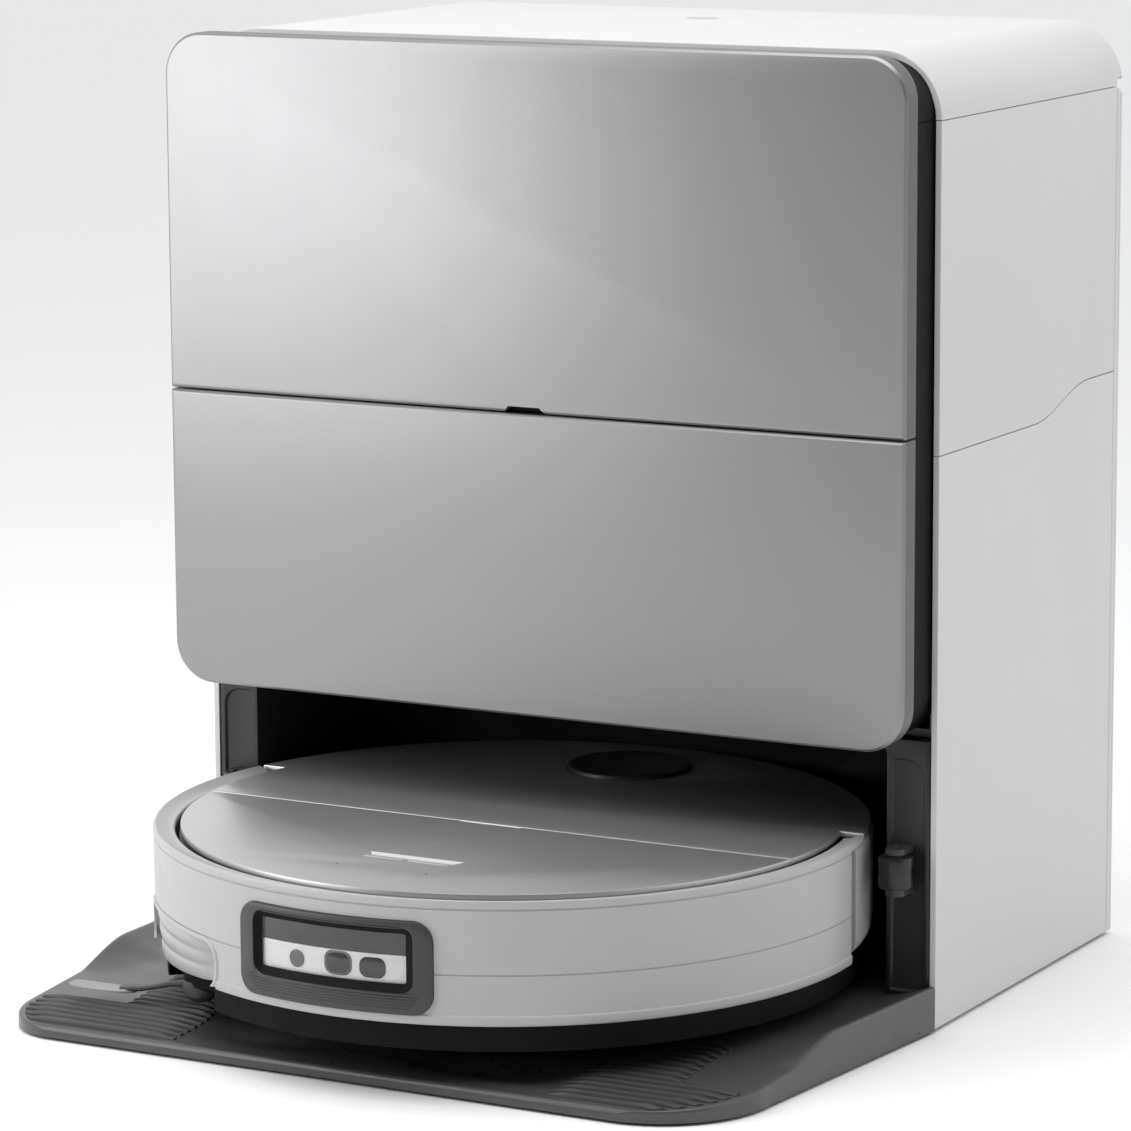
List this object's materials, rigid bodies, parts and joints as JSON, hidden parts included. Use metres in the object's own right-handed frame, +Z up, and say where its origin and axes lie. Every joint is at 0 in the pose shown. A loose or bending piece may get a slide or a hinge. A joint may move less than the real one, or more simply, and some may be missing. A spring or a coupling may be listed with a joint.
{
  "type": "robot vacuum",
  "caption": "Round robot vacuum and mop with a front sensor window, parked on the ramp of a tall docking station with two front doors and a lift-up lid.",
  "frame": {"origin": "middle of the footprint of the whole object, on the floor", "axes": "+Z up; +Y towards the back of the station, so the robot drives out towards -Y; +X to the right seen from the front"},
  "size_m": [0.406, 0.448, 0.47],
  "materials": {
    "charcoal": "satin moulded",
    "black_plastic": "satin",
    "grey_plastic": "matte",
    "shell_white": "fine matte",
    "robot_white": "satin",
    "silver_panel": "satin metallic with a fine grain",
    "deck_silver": "satin metallic",
    "tread_rubber": "moulded",
    "roller_rubber": "smooth",
    "brush_rubber": "smooth",
    "steel": "bright",
    "contact_metal": "plated",
    "clear_tank": "clear tinted",
    "smoke_tank": "smoke tinted",
    "bag_cloth": "pressed paper cloth",
    "mop_cloth": "looped microfibre",
    "circuit": "lacquered board",
    "battery_wrap": "shrink wrap",
    "gloss_black": "gloss",
    "window_glass": "clear gloss"
  },
  "bodies": {
    "dock": {"base_plate": "charcoal", "ramp_treads": "tread_rubber", "feet": "tread_rubber", "wash_tray": "charcoal", "bay_liner": "charcoal", "front_frame": "black_plastic", "upper_door": "silver_panel", "hinge_pins": "steel", "side_upper_left": "shell_white", "side_upper_right": "shell_white", "side_lower_left": "shell_white", "side_lower_right": "shell_white", "rear_cover": "shell_white", "cover_screws": "steel", "inner_frame": "grey_plastic", "clean_tank": "clear_tank", "dirty_tank": "smoke_tank", "tank_lids": "grey_plastic", "dust_bag": "bag_cloth", "dust_fan": "black_plastic", "pump_unit": "grey_plastic", "mains_board": "circuit", "power_inlet": "black_plastic", "roller_brackets": "charcoal"},
    "guide_roller_left": {"guide_roller_left": "roller_rubber"},
    "guide_roller_right": {"guide_roller_right": "roller_rubber"},
    "charge_contacts": {"charge_contacts": "contact_metal"},
    "lid": {"lid": "shell_white", "lid_bezel": "black_plastic"},
    "lower_door": {"lower_door": "silver_panel"},
    "robot": {"robot_pan": "black_plastic", "robot_body": "grey_plastic", "robot_skirt": "robot_white", "deck_front": "deck_silver", "deck_rear": "deck_silver", "dustbin": "smoke_tank", "suction_fan": "black_plastic", "battery": "battery_wrap", "robot_board": "circuit", "brush_guard": "charcoal"},
    "turret": {"turret": "charcoal"},
    "lidar_head": {"lidar_head": "gloss_black"},
    "power_button": {"power_button": "robot_white"},
    "home_button": {"home_button": "robot_white"},
    "bumper": {"bumper": "robot_white", "sensor_bezel": "charcoal", "sensor_window": "window_glass", "sensor_lenses": "gloss_black"},
    "wheel_arm_left": {"wheel_arm_left": "grey_plastic"},
    "wheel_arm_right": {"wheel_arm_right": "grey_plastic"},
    "wheel_left": {"wheel_left": "tread_rubber"},
    "wheel_right": {"wheel_right": "tread_rubber"},
    "caster_fork": {"caster_fork": "grey_plastic"},
    "caster_wheel": {"caster_wheel": "tread_rubber"},
    "main_brush": {"main_brush": "brush_rubber"},
    "side_brush_arm": {"side_brush_arm": "robot_white"},
    "side_brush": {"side_brush": "brush_rubber"},
    "mop_carriage": {"mop_carriage": "grey_plastic"},
    "mop_left": {"mop_left": "mop_cloth"},
    "mop_right": {"mop_right": "mop_cloth"}
  },
  "joints": [
    {"name": "lid_hinge", "type": "hinge", "parent": "dock", "child": "lid", "pos_m": [0, 0.2205, 0.438], "axis": [-1, 0, 0], "range_deg": [0, 75]},
    {"name": "lower_door_hinge", "type": "hinge", "parent": "dock", "child": "lower_door", "pos_m": [0, -0.0256, 0.148], "axis": [1, 0, 0], "range_deg": [0, 65]},
    {"name": "roller_left_spin", "type": "hinge", "parent": "dock", "child": "guide_roller_left", "pos_m": [-0.186, -0.0062, 0.08], "axis": [0, 0, 1], "continuous": true},
    {"name": "roller_right_spin", "type": "hinge", "parent": "dock", "child": "guide_roller_right", "pos_m": [0.186, -0.0062, 0.08], "axis": [0, 0, 1], "continuous": true},
    {"name": "contacts_press", "type": "slide", "parent": "dock", "child": "charge_contacts", "axis": [0, 1, 0], "range_m": [0, 0.003], "stiffness_N_per_m": 300, "springref_m": -0.002},
    {"name": "robot_drive_out", "type": "slide", "parent": "dock", "child": "robot", "axis": [0, -1, 0], "range_m": [0, 0.45]},
    {"name": "bumper_press", "type": "slide", "parent": "robot", "child": "bumper", "axis": [0, 1, 0], "range_m": [0, 0.0022], "stiffness_N_per_m": 800, "springref_m": -0.002},
    {"name": "power_press", "type": "slide", "parent": "robot", "child": "power_button", "axis": [0, 0, -1], "range_m": [0, 0.0008], "stiffness_N_per_m": 600, "springref_m": -0.0008},
    {"name": "home_press", "type": "slide", "parent": "robot", "child": "home_button", "axis": [0, 0, -1], "range_m": [0, 0.0008], "stiffness_N_per_m": 600, "springref_m": -0.0008},
    {"name": "turret_lift", "type": "slide", "parent": "robot", "child": "turret", "axis": [0, 0, 1], "range_m": [0, 0.02]},
    {"name": "lidar_spin", "type": "hinge", "parent": "turret", "child": "lidar_head", "pos_m": [0, 0.075, 0.0845], "axis": [0, 0, 1], "continuous": true},
    {"name": "wheel_left_drop", "type": "hinge", "parent": "robot", "child": "wheel_arm_left", "pos_m": [-0.098, -0.025, 0.0525], "axis": [-1, 0, 0], "range_deg": [0, 10], "stiffness_Nm_per_rad": 1.5, "springref_deg": -17.19},
    {"name": "wheel_left_spin", "type": "hinge", "parent": "wheel_arm_left", "child": "wheel_left", "pos_m": [-0.115, -0.067, 0.0465], "axis": [1, 0, 0], "continuous": true},
    {"name": "wheel_right_drop", "type": "hinge", "parent": "robot", "child": "wheel_arm_right", "pos_m": [0.098, -0.025, 0.0525], "axis": [-1, 0, 0], "range_deg": [0, 10], "stiffness_Nm_per_rad": 1.5, "springref_deg": -17.19},
    {"name": "wheel_right_spin", "type": "hinge", "parent": "wheel_arm_right", "child": "wheel_right", "pos_m": [0.115, -0.067, 0.0465], "axis": [1, 0, 0], "continuous": true},
    {"name": "caster_swivel", "type": "hinge", "parent": "robot", "child": "caster_fork", "pos_m": [0, -0.179, 0.0365], "axis": [0, 0, 1], "continuous": true},
    {"name": "caster_roll", "type": "hinge", "parent": "caster_fork", "child": "caster_wheel", "pos_m": [0, -0.173, 0.0255], "axis": [1, 0, 0], "continuous": true},
    {"name": "main_brush_spin", "type": "hinge", "parent": "robot", "child": "main_brush", "pos_m": [0, -0.123, 0.036], "axis": [1, 0, 0], "continuous": true},
    {"name": "brush_arm_swing", "type": "hinge", "parent": "robot", "child": "side_brush_arm", "pos_m": [-0.056, -0.173, 0.0365], "axis": [0, 0, 1], "range_deg": [0, 15]},
    {"name": "side_brush_spin", "type": "hinge", "parent": "side_brush_arm", "child": "side_brush", "pos_m": [-0.106, -0.165, 0.0365], "axis": [0, 0, 1], "continuous": true},
    {"name": "mop_lift", "type": "slide", "parent": "robot", "child": "mop_carriage", "axis": [0, 0, 1], "range_m": [0, 0.01]},
    {"name": "mop_left_spin", "type": "hinge", "parent": "mop_carriage", "child": "mop_left", "pos_m": [-0.062, 0.025, 0.0365], "axis": [0, 0, 1], "continuous": true},
    {"name": "mop_right_spin", "type": "hinge", "parent": "mop_carriage", "child": "mop_right", "pos_m": [0.062, 0.025, 0.0365], "axis": [0, 0, 1], "continuous": true}
  ],
  "couplings": [
    {"joint": "mop_right_spin", "follows": "mop_left_spin", "ratio": -1}
  ]
}
